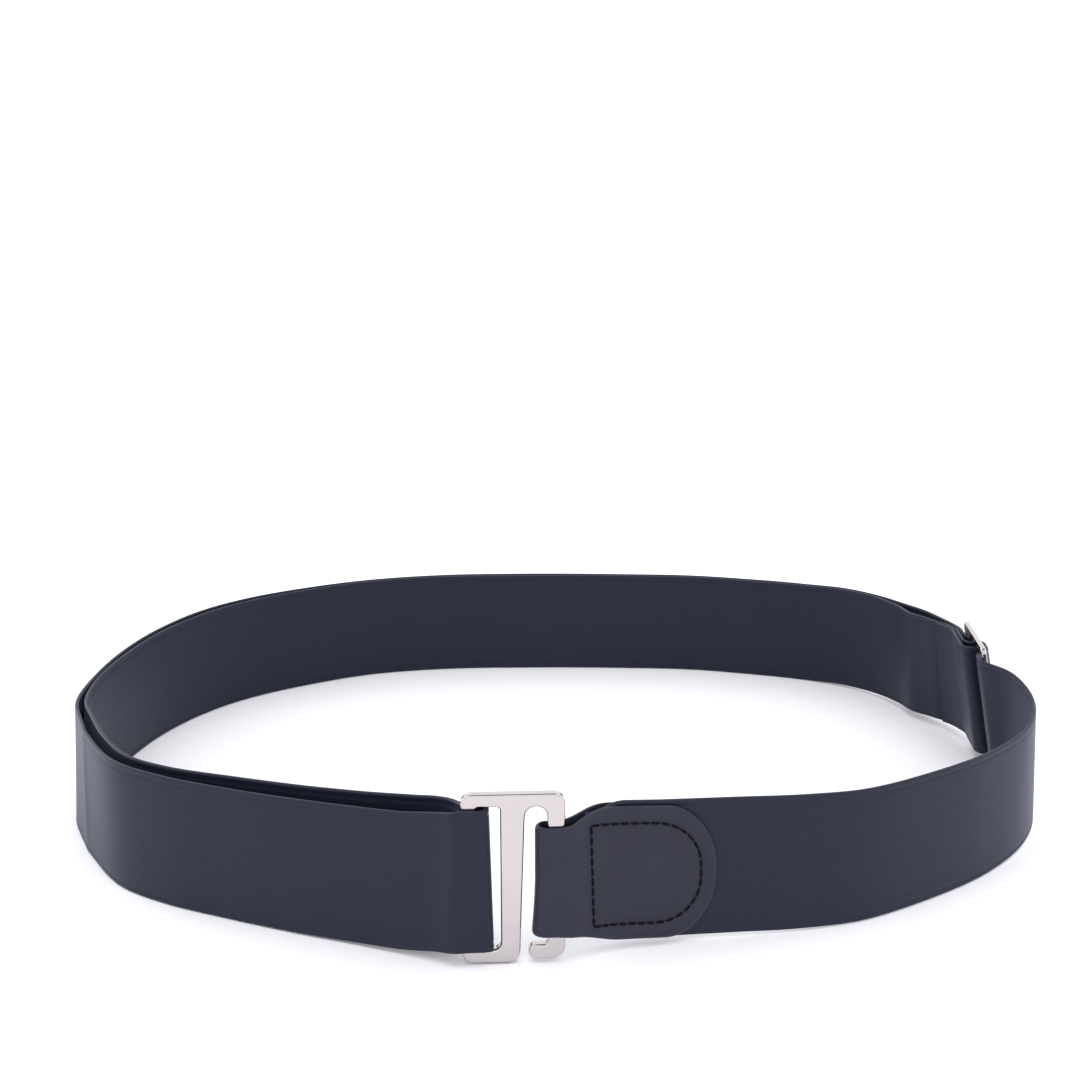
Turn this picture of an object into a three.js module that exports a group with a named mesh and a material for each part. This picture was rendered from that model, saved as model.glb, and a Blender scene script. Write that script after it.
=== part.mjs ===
import * as THREE from 'three';

// Shirt stay: an elastic belt, closed by a flat metal hook, that stands on its lower edge.
// Millimetres. X runs across the closed belt, Y from the hook at the front to the back, Z up.

// The oval that the middle line of the elastic makes, seen from above
const ringWidth = 302.6;
const ringDepth = 211;
const topLean = 3;            // the top edge stands this far inside the bottom edge
const slideLean = 8;          // the same beside the slide
const layerGap = 8;           // distance between the two layers beside the hook

// Gap between pieces that lie on each other, and between layers of the elastic
const clearance = 0.3;

// Elastic band
const bandWidth = 40;
const bandThick = 1.2;
const bandStart = 11.5;       // from the middle of the leather fold to the sewn end
const flapLength = 27;        // sewn end turned back over the slide's middle bar

// Hook buckle: a punched plate with a closed loop at the left and an open hook at the right
const hookWidth = 27.5;
const hookThick = 3;
const hookArm = 3.6;          // height of the top and bottom arms
const hookBar = 4;            // left bar, that the elastic folds round
const hookWindow = 6.4;       // opening between the left bar and the spine
const spineTop = 6.6;
const spineFoot = 5;
const hookSlot = 5.8;         // opening between the spine and the right bar
const jawGap = 2.3;           // way in between the spine's foot and the hook's tip
const jawRise = 0.8;          // the hook's tip end stands this far above the foot
const jawHeight = 4.2;
const jawRound = 3.8;         // outer corner of the hook's foot
const hookRound = 3;          // outer corners
const hookEdge = 0.4;         // rolled edge of the plate

// Slide adjuster: a flat frame with a middle bar
const slideWidth = 28;
const slideThick = 1.6;
const slideRail = 3.6;        // top and bottom rails
const slideBar = 3;           // side bars
const slideMiddle = 3;        // middle bar
const slideRound = 2.4;
const slideEdge = 0.3;

// Leather tab: one strip folded round the hook's right bar and sewn over the elastic
const tabThick = 1.2;
const tabLength = 48;         // from the middle of the fold to the round end
const tabHeight = 39.4;
const tabNeck = 31;           // height at the fold
const tabRoundEnd = 14.5;     // length of the round end

// Places of the hook and the slide, as shares of the oval
const hookPlace = { x: -0.039, y: -0.493 };
const hookTurn = THREE.MathUtils.degToRad(2.5);
const slidePlace = { x: 0.4785, y: 0.083 };
const slideTurn = THREE.MathUtils.degToRad(3);

// How finely the curves are cut
const fineStep = 0.25;
const shortestStep = 0.15;
const longestStep = 6;
const largestGrowth = 1.2;
const largestTurn = THREE.MathUtils.degToRad(9);
const cornerSteps = 6;
const edgeSteps = 2;

// Heights and angles that follow from the sizes above
const layerStep = bandThick + clearance;
const hookHeight = bandWidth + 2 * (clearance + hookArm);
const slideHeight = bandWidth + 2 * (clearance + slideRail);
const hookTilt = Math.asin(topLean / bandWidth);
const slideTilt = Math.asin(slideLean / bandWidth);
const hookMidZ = plateMidHeight(hookHeight, hookThick, hookTilt);
const slideMidZ = plateMidHeight(slideHeight, slideThick, slideTilt);

// Middle lines that pass the bars with the clearance
const foldRadius = hookThick / 2 + clearance + bandThick / 2;
const tabFold = hookThick / 2 + clearance + tabThick / 2;
const tabSeat = bandThick / 2 + clearance + tabThick / 2;
const wrapRadius = clearance + bandThick / 2;
const strandDepth = slideThick / 2 + wrapRadius;

const hookX = hookPlace.x * ringWidth;
const hookY = hookPlace.y * ringDepth;
const slideX = slidePlace.x * ringWidth;
const slideY = slidePlace.y * ringDepth;
const rightBar = hookWidth - hookBar - hookWindow - spineTop - hookSlot;
const slideHalf = slideWidth / 2 + bandThick;

/** Height of the middle of a plate that stands on its lower edge and leans by an angle. */
function plateMidHeight(height, thick, tilt) {
  return height / 2 * Math.cos(tilt) + thick / 2 * Math.sin(tilt);
}

// Rows of the oval from the leather fold, round the right end, to the slide.
// x and y are shares of the oval, lean of the top lean, gap of the layer gap; hook and slide
// say how much of the height of those two plates the elastic takes up there.
const frontRows = [
  { x: 0.042, y: -0.4665, lean: 0.9, gap: 0, hook: 0.7, slide: 0 },
  { x: 0.097, y: -0.4500, lean: 0.8, gap: 0, hook: 0.4, slide: 0 },
  { x: 0.165, y: -0.4350, lean: 0.7, gap: 0, hook: 0.22, slide: 0 },
  { x: 0.222, y: -0.4240, lean: 0.6, gap: 0, hook: 0.1, slide: 0 },
  { x: 0.280, y: -0.4030, lean: 0.4, gap: 0, hook: 0, slide: 0 },
  { x: 0.341, y: -0.3590, lean: 0.3, gap: 0, hook: 0, slide: 0 },
  { x: 0.411, y: -0.2920, lean: 0.25, gap: 0, hook: 0, slide: 0 },
  { x: 0.467, y: -0.2140, lean: 0.3, gap: 0, hook: 0, slide: 0.2 },
  { x: 0.492, y: -0.1420, lean: 0.9, gap: 0, hook: 0, slide: 0.4 },
  { x: 0.4985, y: -0.0760, lean: 1.4, gap: 0, hook: 0, slide: 0.65 },
  { x: 0.4920, y: -0.0240, lean: 1.8, gap: 0, hook: 0, slide: 0.9 },
];

// Rows from the slide, along the back and the left end, to the hook's left bar
const backRows = [
  { x: 0.4760, y: 0.1900, lean: 2.5, gap: 0.30, hook: 0, slide: 0.9 },
  { x: 0.4655, y: 0.2250, lean: 2.2, gap: 0.50, hook: 0, slide: 0.8 },
  { x: 0.4520, y: 0.2660, lean: 1.8, gap: 0.82, hook: 0, slide: 0.65 },
  { x: 0.4330, y: 0.3100, lean: 1.5, gap: 0.42, hook: 0, slide: 0.45 },
  { x: 0.4070, y: 0.3600, lean: 1.2, gap: 0.22, hook: 0, slide: 0.3 },
  { x: 0.3700, y: 0.4080, lean: 1, gap: 0.21, hook: 0, slide: 0.15 },
  { x: 0.3210, y: 0.4410, lean: 1, gap: 0.21, hook: 0, slide: 0 },
  { x: 0.2600, y: 0.4660, lean: 1, gap: 0.21, hook: 0, slide: 0 },
  { x: 0.1820, y: 0.4890, lean: 1, gap: 0.21, hook: 0, slide: 0 },
  { x: 0.0830, y: 0.4980, lean: 1, gap: 0.21, hook: 0, slide: 0 },
  { x: -0.0265, y: 0.5000, lean: 1, gap: 0.21, hook: 0, slide: 0 },
  { x: -0.1390, y: 0.4920, lean: 1, gap: 0.21, hook: 0, slide: 0 },
  { x: -0.2320, y: 0.4660, lean: 1, gap: 0.21, hook: 0, slide: 0 },
  { x: -0.3080, y: 0.4220, lean: 1, gap: 0.30, hook: 0, slide: 0 },
  { x: -0.3760, y: 0.3650, lean: 1, gap: 0.36, hook: 0, slide: 0 },
  { x: -0.4290, y: 0.2920, lean: 1, gap: 0.38, hook: 0, slide: 0 },
  { x: -0.4670, y: 0.1970, lean: 1, gap: 0.32, hook: 0, slide: 0 },
  { x: -0.4900, y: 0.0920, lean: 1, gap: 0.28, hook: 0, slide: 0 },
  { x: -0.5000, y: -0.0140, lean: 1, gap: 0.21, hook: 0, slide: 0 },
  { x: -0.4987, y: -0.1080, lean: 1, gap: 0.32, hook: 0, slide: 0 },
  { x: -0.4820, y: -0.1720, lean: 0.8, gap: 0.44, hook: 0, slide: 0 },
  { x: -0.4530, y: -0.2500, lean: 0.4, gap: 0.53, hook: 0, slide: 0 },
  { x: -0.4180, y: -0.3160, lean: 0.25, gap: 0.60, hook: 0, slide: 0 },
  { x: -0.3700, y: -0.3600, lean: 0.25, gap: 0.70, hook: 0, slide: 0 },
  { x: -0.3030, y: -0.3990, lean: 0.3, gap: 0.90, hook: 0, slide: 0 },
  { x: -0.2380, y: -0.4320, lean: 0.5, gap: 1.00, hook: 0.04, slide: 0 },
  { x: -0.1850, y: -0.4560, lean: 0.6, gap: 1.12, hook: 0.12, slide: 0 },
  { x: -0.1380, y: -0.4790, lean: 0.7, gap: 1.28, hook: 0.3, slide: 0 },
  { x: -0.1120, y: -0.4920, lean: 0.8, gap: 1.16, hook: 0.6, slide: 0 },
];

/** The rows of a table at their real size, with the heights of the elastic's middle. */
function atSize(rows) {
  return rows.map((row) => ({
    x: row.x * ringWidth,
    y: row.y * ringDepth,
    lean: row.lean * topLean,
    gap: row.gap * layerGap,
    hook: row.hook,
    slide: row.slide,
  }));
}

/** Straight stretch of the oval beside the slide's plate. */
function slideRows() {
  const shared = { lean: slideLean, gap: layerStep, hook: 0, slide: 1 };
  const ends = [-slideHalf, bandThick - slideHalf, 0, slideHalf - bandThick, slideHalf];
  return ends.map((along) => ({
    x: slideX + along * Math.sin(slideTurn),
    y: slideY + along * Math.cos(slideTurn),
    ...shared,
  }));
}

/** A row beside the hook's plate: across from its left edge, out from its middle plane. */
function hookRow(across, out, gap) {
  const along = across - hookWidth / 2;
  return {
    x: hookX + along * Math.cos(hookTurn) + out * Math.sin(hookTurn),
    y: hookY + along * Math.sin(hookTurn) - out * Math.cos(hookTurn),
    lean: topLean,
    gap,
    hook: 1,
    slide: 0,
  };
}

/** The oval starts in the leather's fold, round the hook's right bar. */
function tabRows() {
  const foldMiddle = hookWidth - rightBar - clearance;
  return [foldMiddle, hookWidth - tabThick, hookWidth + clearance].map((across) => hookRow(across, 0, 0));
}

/** The oval ends on the front of the hook's left bar. */
function foldRows() {
  const foldMiddle = hookBar + bandThick / 2;
  return [-layerStep, 0, foldMiddle].map((across) => hookRow(across, foldRadius, 2 * foldRadius));
}

/** Places along the oval, a short step apart, with what the rows say of each. */
function measureRing() {
  const rows = [...tabRows(), ...atSize(frontRows), ...slideRows(), ...atSize(backRows), ...foldRows()];
  const plan = new THREE.CatmullRomCurve3(rows.map((row) => new THREE.Vector3(row.x, row.y, 0)));
  const shape = rows.map((row) => new THREE.Vector3(row.lean, row.gap, 0));
  const rise = rows.map((row) => new THREE.Vector3(row.hook, row.slide, 0));
  const shapeCurve = new THREE.CatmullRomCurve3(shape, false, 'catmullrom');
  const riseCurve = new THREE.CatmullRomCurve3(rise, false, 'catmullrom');
  const count = Math.round(2 * (ringWidth + ringDepth) / fineStep);
  const marks = [];
  let along = 0;
  for (let i = 0; i <= count; i += 1) {
    const t = i / count;
    const point = plan.getPoint(t);
    const tangent = plan.getTangent(t);
    const { x: lean, y: gap } = shapeCurve.getPoint(t);
    const { x: hook, y: slide } = riseCurve.getPoint(t);
    if (i > 0) along += point.distanceTo(marks[i - 1].point);
    const rises = { hook: Math.max(hook, 0), slide: Math.max(slide, 0) };
    marks.push({ along, point, tangent, lean, gap, ...rises });
  }
  return marks;
}

const ring = measureRing();
const ringLength = ring[ring.length - 1].along;
const slideAlong = nearestAlong(slideX, slideY);

/** The distance along the oval of the mark that lies nearest to a point. */
function nearestAlong(x, y) {
  const target = new THREE.Vector3(x, y, 0);
  const distances = ring.map((mark) => mark.point.distanceTo(target));
  return ring[distances.indexOf(Math.min(...distances))].along;
}

/** The mark of the oval at a distance along it. */
function ringAt(along) {
  const wanted = THREE.MathUtils.clamp(along, 0, ringLength);
  let low = 0;
  let high = ring.length - 1;
  while (high - low > 1) {
    const middle = (low + high) >> 1;
    if (ring[middle].along > wanted) high = middle;
    else low = middle;
  }
  const before = ring[low];
  const after = ring[high];
  const share = (wanted - before.along) / (after.along - before.along);
  const mix = (name) => THREE.MathUtils.lerp(before[name], after[name], share);
  return {
    point: before.point.clone().lerp(after.point, share),
    tangent: before.tangent.clone().lerp(after.tangent, share).normalize(),
    lean: mix('lean'),
    gap: mix('gap'),
    hook: mix('hook'),
    slide: mix('slide'),
  };
}

/** Unit vector up the leaning width of the elastic at a mark. */
function widthAt(mark) {
  const outward = outwardAt(mark);
  const share = mark.lean / bandWidth;
  return new THREE.Vector3(-outward.x * share, -outward.y * share, Math.sqrt(1 - share * share));
}

function outwardAt(mark) {
  return new THREE.Vector3(mark.tangent.y, -mark.tangent.x, 0);
}

/** A place beside the oval: out is the distance outwards, half the half height of the strip. */
function place(along, out, half = bandWidth / 2) {
  const mark = ringAt(along);
  const up = widthAt(mark);
  const restZ = bandWidth / 2 * up.z;
  const hookRise = mark.hook * (hookMidZ - bandWidth / 2 * Math.cos(hookTilt));
  const slideRise = mark.slide * (slideMidZ - bandWidth / 2 * Math.cos(slideTilt));
  const middle = mark.point.clone().addScaledVector(outwardAt(mark), out);
  middle.z = restZ + hookRise + slideRise;
  return { middle, up, half };
}

/** Places along the oval between two distances, at an offset worked out for each. */
function run(from, to, outOf, halfOf) {
  const count = Math.max(2, Math.round(Math.abs(to - from) / fineStep));
  const places = [];
  for (let i = 0; i <= count; i += 1) {
    const along = THREE.MathUtils.lerp(from, to, i / count);
    places.push(place(along, outOf(along), halfOf ? halfOf(along) : undefined));
  }
  return places;
}

/** An arc beside the oval, in the plan of the mark at a distance along it. */
function bend(along, out, radius, startAngle, endAngle, half) {
  const mark = ringAt(along);
  const outward = outwardAt(mark);
  const base = place(along, out, half);
  const count = Math.max(2, Math.ceil(Math.abs(endAngle - startAngle) / (largestTurn / 2)));
  const places = [];
  for (let i = 0; i <= count; i += 1) {
    const angle = THREE.MathUtils.lerp(startAngle, endAngle, i / count);
    const middle = base.middle.clone();
    middle.addScaledVector(outward, radius * Math.cos(angle));
    middle.addScaledVector(mark.tangent, radius * Math.sin(angle));
    places.push({ ...base, middle });
  }
  return places;
}

/** Drops places that lie on a nearly straight and even stretch. */
function thin(places) {
  const kept = [places[0]];
  let start = 0;
  for (let i = 1; i < places.length - 1; i += 1) {
    const gone = places[i].middle.distanceTo(places[start].middle);
    const turn = headingAt(places, start).angleTo(headingAt(places, i));
    const grown = Math.abs(places[i].half - places[start].half);
    const changed = gone > longestStep || turn > largestTurn || grown > largestGrowth;
    if (gone > shortestStep && changed) {
      kept.push(places[i]);
      start = i;
    }
  }
  kept.push(places[places.length - 1]);
  return kept;
}

function headingAt(places, index) {
  return direction(places[index].middle, places[index + 1].middle);
}

function direction(from, to) {
  return to.clone().sub(from).setZ(0).normalize();
}

/** A closed strip of a thickness through places: a four cornered section at each. */
function stripGeometry(places, thick) {
  const kept = thin(places);
  const corners = [];
  kept.forEach((spot, i) => {
    const before = kept[Math.max(i - 1, 0)].middle;
    const after = kept[Math.min(i + 1, kept.length - 1)].middle;
    const side = direction(before, after);
    const across = new THREE.Vector3(side.y, -side.x, 0);
    for (const [sideways, upward] of [[1, -1], [1, 1], [-1, 1], [-1, -1]]) {
      const corner = spot.middle.clone();
      corner.addScaledVector(across, sideways * thick / 2);
      corner.addScaledVector(spot.up, upward * spot.half);
      corners.push(corner.x, corner.y, corner.z);
    }
  });
  const faces = [];
  for (let i = 0; i < kept.length - 1; i += 1) {
    for (let k = 0; k < 4; k += 1) {
      const a = 4 * i + k;
      const b = 4 * i + (k + 1) % 4;
      faces.push(a, a + 4, b, b, a + 4, b + 4);
    }
  }
  const end = 4 * (kept.length - 1);
  faces.push(0, 1, 2, 0, 2, 3);
  faces.push(end, end + 2, end + 1, end, end + 3, end + 2);
  const geometry = new THREE.BufferGeometry();
  geometry.setAttribute('position', new THREE.Float32BufferAttribute(corners, 3));
  geometry.setIndex(faces);
  geometry.computeVertexNormals();
  return geometry;
}

/** The elastic lifts over the slide's middle bar and lies inside its side bars. */
function weave(along) {
  const height = 2 * strandDepth + layerStep;
  const distance = Math.abs(along - slideAlong);
  const flat = slideMiddle / 2;
  const foot = slideWidth / 2 - slideBar - clearance;
  return height * (1 - THREE.MathUtils.smoothstep(distance, flat, foot));
}

/** The inner end goes round the slide's middle bar and lies back on itself. */
function wrapPlaces() {
  const bar = slideMiddle / 2;
  const turnIn = strandDepth + layerStep;
  const turnBack = layerStep + bandThick;
  const near = slideAlong + bar + wrapRadius;
  const far = slideAlong - bar - wrapRadius;
  const plate = strandDepth;
  const lower = -layerStep * 2;
  return [
    ...bend(near + turnIn, plate, turnIn, Math.PI, Math.PI * 1.5),
    ...bend(slideAlong + bar, plate + slideThick / 2, wrapRadius, Math.PI / 2, 0),
    ...bend(slideAlong - bar, plate + slideThick / 2, wrapRadius, 0, -Math.PI / 2),
    ...bend(far + turnBack, lower + turnBack, turnBack, -Math.PI / 2, -Math.PI),
    ...run(far + turnBack + bandThick, slideAlong + flapLength, (along) => -ringAt(along).gap - layerStep),
  ];
}

function elasticBand() {
  const turnIn = slideAlong + slideMiddle / 2 + wrapRadius + strandDepth + layerStep;
  return stripGeometry([
    ...run(bandStart, ringLength, weave),
    ...bend(ringLength, -foldRadius, foldRadius, 0, Math.PI),
    ...run(ringLength - clearance, turnIn + clearance, (along) => -ringAt(along).gap),
    ...wrapPlaces(),
  ], bandThick);
}

/** Half height of the leather: a neck at the fold, then wider, then the round end. */
function tabHalf(along) {
  const neckEnd = rightBar + clearance;
  const wide = THREE.MathUtils.smoothstep(along, neckEnd, bandStart + rightBar);
  const half = THREE.MathUtils.lerp(tabNeck, tabHeight, wide) / 2;
  const into = (along - tabLength + tabRoundEnd) / tabRoundEnd;
  return into > 0 ? half * Math.sqrt(Math.max(1 - into * into, 0)) : half;
}

/** Offset of the leather from the oval: wide round the bar, then flat on the elastic. */
function tabOffset(along) {
  const close = THREE.MathUtils.smoothstep(along, rightBar + 2 * clearance, bandStart - clearance);
  return THREE.MathUtils.lerp(tabFold, tabSeat, close);
}

function leatherTab() {
  const tip = tabLength - clearance / 2;
  const neck = tabNeck / 2;
  return stripGeometry([
    ...run(tip, 0, tabOffset, tabHalf),
    ...bend(0, 0, tabFold, 0, -Math.PI, neck),
    ...run(0, tip, (along) => -tabOffset(along), tabHalf),
  ], tabThick);
}

/** A rectangle with round corners, as a shape or as a hole. */
function roundedRectangle(path, left, bottom, width, height, radius) {
  const right = left + width;
  const top = bottom + height;
  path.moveTo(left + radius, bottom);
  path.absarc(right - radius, bottom + radius, radius, -Math.PI / 2, 0);
  path.absarc(right - radius, top - radius, radius, 0, Math.PI / 2);
  path.absarc(left + radius, top - radius, radius, Math.PI / 2, Math.PI);
  path.absarc(left + radius, bottom + radius, radius, Math.PI, Math.PI * 1.5);
  path.closePath();
  return path;
}

/** A plate of a thickness with rolled edges, centred on its outline and standing up. */
function plateGeometry(shape, width, height, thick, edge) {
  const geometry = new THREE.ExtrudeGeometry(shape, {
    depth: thick - 2 * edge,
    curveSegments: cornerSteps,
    bevelEnabled: true,
    bevelThickness: edge,
    bevelSize: edge,
    bevelOffset: -edge,
    bevelSegments: edgeSteps,
  });
  geometry.translate(-width / 2, -height / 2, edge - thick / 2);
  geometry.rotateX(Math.PI / 2);
  return geometry;
}

function hookBuckle() {
  const spineLeft = hookBar + hookWindow;
  const footRight = spineLeft + spineFoot;
  const slotLeft = spineLeft + spineTop;
  const barLeft = slotLeft + hookSlot;
  const slotTop = hookHeight - hookArm;
  const slotRound = hookSlot / 2;
  const tipX = footRight + jawGap;
  const tipRound = jawHeight / 2;
  const jawTop = jawRise + jawHeight;
  const outline = new THREE.Shape();
  outline.moveTo(hookRound, 0);
  outline.absarc(footRight - hookRound, hookRound, hookRound, -Math.PI / 2, 0);
  outline.lineTo(slotLeft, slotTop - slotRound);
  outline.absarc(slotLeft + slotRound, slotTop - slotRound, slotRound, Math.PI, 0, true);
  outline.lineTo(barLeft, jawTop + clearance);
  outline.quadraticCurveTo(barLeft, jawTop, barLeft - clearance, jawTop);
  outline.lineTo(tipX + tipRound, jawTop);
  outline.absarc(tipX + tipRound, jawTop - tipRound, tipRound, Math.PI / 2, Math.PI * 1.5);
  outline.absarc(hookWidth - jawRound, jawRise + jawRound, jawRound, -Math.PI / 2, 0);
  outline.absarc(hookWidth - hookRound, hookHeight - hookRound, hookRound, 0, Math.PI / 2);
  outline.absarc(hookRound, hookHeight - hookRound, hookRound, Math.PI / 2, Math.PI);
  outline.absarc(hookRound, hookRound, hookRound, Math.PI, Math.PI * 1.5);
  const window = new THREE.Path();
  const windowHeight = hookHeight - 2 * hookArm;
  outline.holes.push(roundedRectangle(window, hookBar, hookArm, hookWindow, windowHeight, clearance));
  return plateGeometry(outline, hookWidth, hookHeight, hookThick, hookEdge);
}

function slideAdjuster() {
  const frame = roundedRectangle(new THREE.Shape(), 0, 0, slideWidth, slideHeight, slideRound);
  const windowWidth = (slideWidth - 2 * slideBar - slideMiddle) / 2;
  const windowHeight = slideHeight - 2 * slideRail;
  for (const left of [slideBar, slideBar + windowWidth + slideMiddle]) {
    const hole = roundedRectangle(new THREE.Path(), left, slideRail, windowWidth, windowHeight, clearance);
    frame.holes.push(hole);
  }
  return plateGeometry(frame, slideWidth, slideHeight, slideThick, slideEdge);
}

const elasticMaterial = new THREE.MeshStandardMaterial({ color: 0x23262f, roughness: 0.85, metalness: 0 });
const leatherMaterial = new THREE.MeshStandardMaterial({ color: 0x2b2d38, roughness: 0.5, metalness: 0 });
const nickelMaterial = new THREE.MeshStandardMaterial({ color: 0xd8cfcd, roughness: 0.25, metalness: 1 });

function named(name, geometry, material) {
  const mesh = new THREE.Mesh(geometry, material);
  mesh.name = name;
  return mesh;
}

const band = named('elastic_band', elasticBand(), elasticMaterial);
const tab = named('leather_tab', leatherTab(), leatherMaterial);

const hook = named('hook_buckle', hookBuckle(), nickelMaterial);
hook.rotation.x = -hookTilt;
const hookStand = new THREE.Group();
hookStand.rotation.z = hookTurn;
hookStand.position.set(hookX, hookY, hookMidZ);
hookStand.add(hook);

const slide = named('slide_adjuster', slideAdjuster(), nickelMaterial);
slide.rotation.x = -slideTilt;
const slideStand = new THREE.Group();
slideStand.rotation.z = Math.PI / 2 - slideTurn;
slideStand.position.set(slideX, slideY, slideMidZ);
slideStand.translateY(-strandDepth);
slideStand.add(slide);

const belt = new THREE.Group();
belt.add(band, tab, hookStand, slideStand);
belt.updateMatrixWorld(true);

// The origin lies under the middle of the belt, on the surface that it stands on
const bounds = new THREE.Box3().setFromObject(belt, true);
const middle = bounds.getCenter(new THREE.Vector3());
belt.position.set(-middle.x, -middle.y, -bounds.min.z);

export default belt;
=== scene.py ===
import math

import bpy
import numpy as np
from mathutils import Matrix, Vector


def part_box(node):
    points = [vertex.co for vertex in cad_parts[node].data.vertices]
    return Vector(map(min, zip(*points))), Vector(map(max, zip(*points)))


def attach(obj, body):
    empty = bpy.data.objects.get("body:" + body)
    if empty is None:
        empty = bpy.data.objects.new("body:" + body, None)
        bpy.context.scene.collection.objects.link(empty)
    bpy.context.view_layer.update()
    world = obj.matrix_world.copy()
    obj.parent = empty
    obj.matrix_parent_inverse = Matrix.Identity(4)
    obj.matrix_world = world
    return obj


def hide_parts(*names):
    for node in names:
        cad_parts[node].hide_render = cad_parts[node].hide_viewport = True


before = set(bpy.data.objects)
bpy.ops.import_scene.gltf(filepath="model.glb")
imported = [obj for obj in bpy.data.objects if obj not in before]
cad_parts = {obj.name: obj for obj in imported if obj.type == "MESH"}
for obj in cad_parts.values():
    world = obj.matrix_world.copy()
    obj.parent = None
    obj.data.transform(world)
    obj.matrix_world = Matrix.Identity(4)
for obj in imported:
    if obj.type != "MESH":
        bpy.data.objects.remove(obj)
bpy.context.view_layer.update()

mm = 0.001

# The sizes that the part is built from, in millimetres
ring = {
    "width": 302.6, "depth": 211.0, "topLean": 3.0, "slideLean": 8.0, "layerGap": 8.0,
    "clearance": 0.3, "step": 0.25, "bendStep": math.radians(3),
}
elastic = {
    "width": 40.0, "thick": 1.2, "start": 11.5, "flap": 27.0, "step": 1.6, "turn": math.radians(5),
    "columns": 40, "edgeRound": 0.42, "selvedge": 1.7, "selvedgeDip": 0.2, "grooveWidth": 0.36,
    "flutter": 0.16,
    "endTaper": 0.14, "leanFrom": 0.5, "leanRun": 9.0, "relaxRounds": 400, "tightFrom": 0.62,
    "tightTo": 0.95, "nearest": 0.02, "shortest": 0.12,
}
hook = {
    "width": 27.5, "thick": 3.0, "arm": 3.6, "bar": 4.0, "window": 6.4, "spineTop": 6.6,
    "spineFoot": 5.0, "slot": 5.8, "jawGap": 2.3, "jawRise": 0.8, "jawHeight": 4.2, "jawRound": 3.8,
    "corner": 3.0, "smallCorner": 0.9, "windowCorner": 2.4, "edge": 0.62, "x": -0.039, "y": -0.493,
    "turn": math.radians(2.5), "filletSteps": 10, "edgeSteps": 4, "foldSlant": 1.1,
}
slide = {
    "width": 28.0, "thick": 1.6, "rail": 3.6, "bar": 3.0, "middle": 3.0, "corner": 2.4, "inner": 0.6,
    "edge": 0.35, "x": 0.4785, "y": 0.083, "turn": math.radians(3), "filletSteps": 8, "edgeSteps": 3,
}
leather = {
    "thick": 1.2, "length": 48.0, "height": 39.4, "neck": 31.0, "roundEnd": 14.5, "neckShift": 0.8,
    "topDrop": 0.8, "flare": 0.9, "edgeRound": 1.5, "edgeRoll": 0.72, "rows": 150, "columns": 64,
    "capRows": 30,
}

# Rows of the oval from the leather fold, round the right end, to the slide
frontRows = [
    {"x": 0.042, "y": -0.4665, "lean": 0.9, "gap": 0, "hook": 0.7, "slide": 0},
    {"x": 0.097, "y": -0.4500, "lean": 0.8, "gap": 0, "hook": 0.4, "slide": 0},
    {"x": 0.165, "y": -0.4350, "lean": 0.7, "gap": 0, "hook": 0.22, "slide": 0},
    {"x": 0.222, "y": -0.4240, "lean": 0.6, "gap": 0, "hook": 0.1, "slide": 0},
    {"x": 0.280, "y": -0.4030, "lean": 0.4, "gap": 0, "hook": 0, "slide": 0},
    {"x": 0.341, "y": -0.3590, "lean": 0.3, "gap": 0, "hook": 0, "slide": 0},
    {"x": 0.411, "y": -0.2920, "lean": 0.25, "gap": 0, "hook": 0, "slide": 0},
    {"x": 0.467, "y": -0.2140, "lean": 0.3, "gap": 0, "hook": 0, "slide": 0.2},
    {"x": 0.492, "y": -0.1420, "lean": 0.9, "gap": 0, "hook": 0, "slide": 0.4},
    {"x": 0.4985, "y": -0.0760, "lean": 1.4, "gap": 0, "hook": 0, "slide": 0.65},
    {"x": 0.4920, "y": -0.0240, "lean": 1.8, "gap": 0, "hook": 0, "slide": 0.9},
]

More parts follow.
